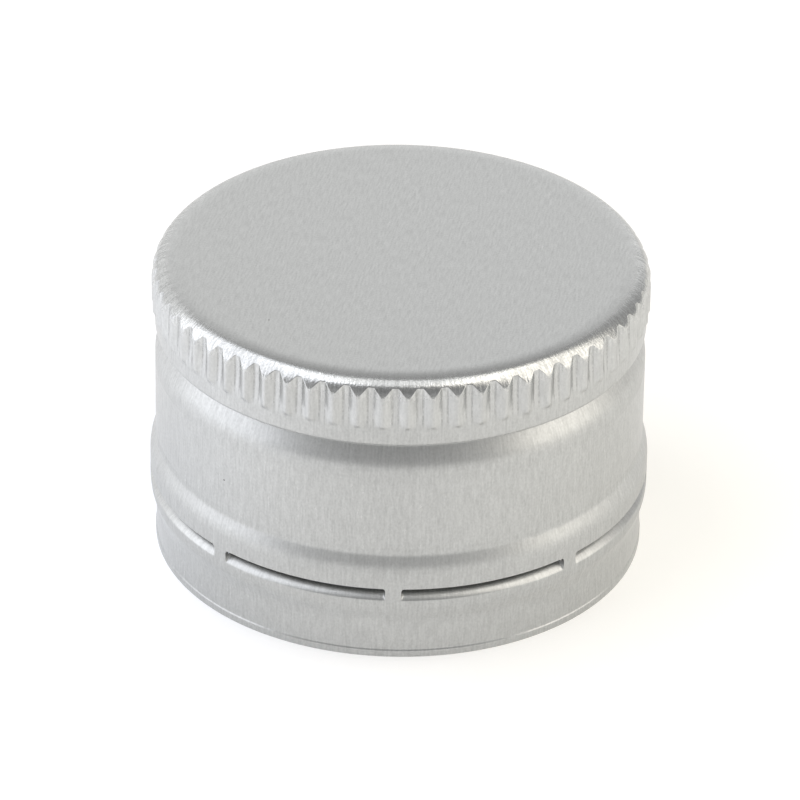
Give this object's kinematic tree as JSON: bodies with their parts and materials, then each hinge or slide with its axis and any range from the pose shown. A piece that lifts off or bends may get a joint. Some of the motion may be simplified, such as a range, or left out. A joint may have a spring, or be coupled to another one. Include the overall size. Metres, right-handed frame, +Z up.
{
  "type": "bottle cap",
  "caption": "Plain aluminium roll-on screw cap with a knurled top edge, a bead and a slit tamper band, lined with a sealing disc.",
  "frame": {"origin": "centre of the open rim, on the surface that the cap stands on", "axes": "+Z up along the cap's axis to the closed top panel, -Y towards the side that the picture shows"},
  "size_m": [0.0288, 0.0288, 0.018],
  "materials": {
    "shell": "satin",
    "liner": "matt"
  },
  "bodies": {
    "root": {"shell": "shell", "liner": "liner"}
  },
  "joints": []
}
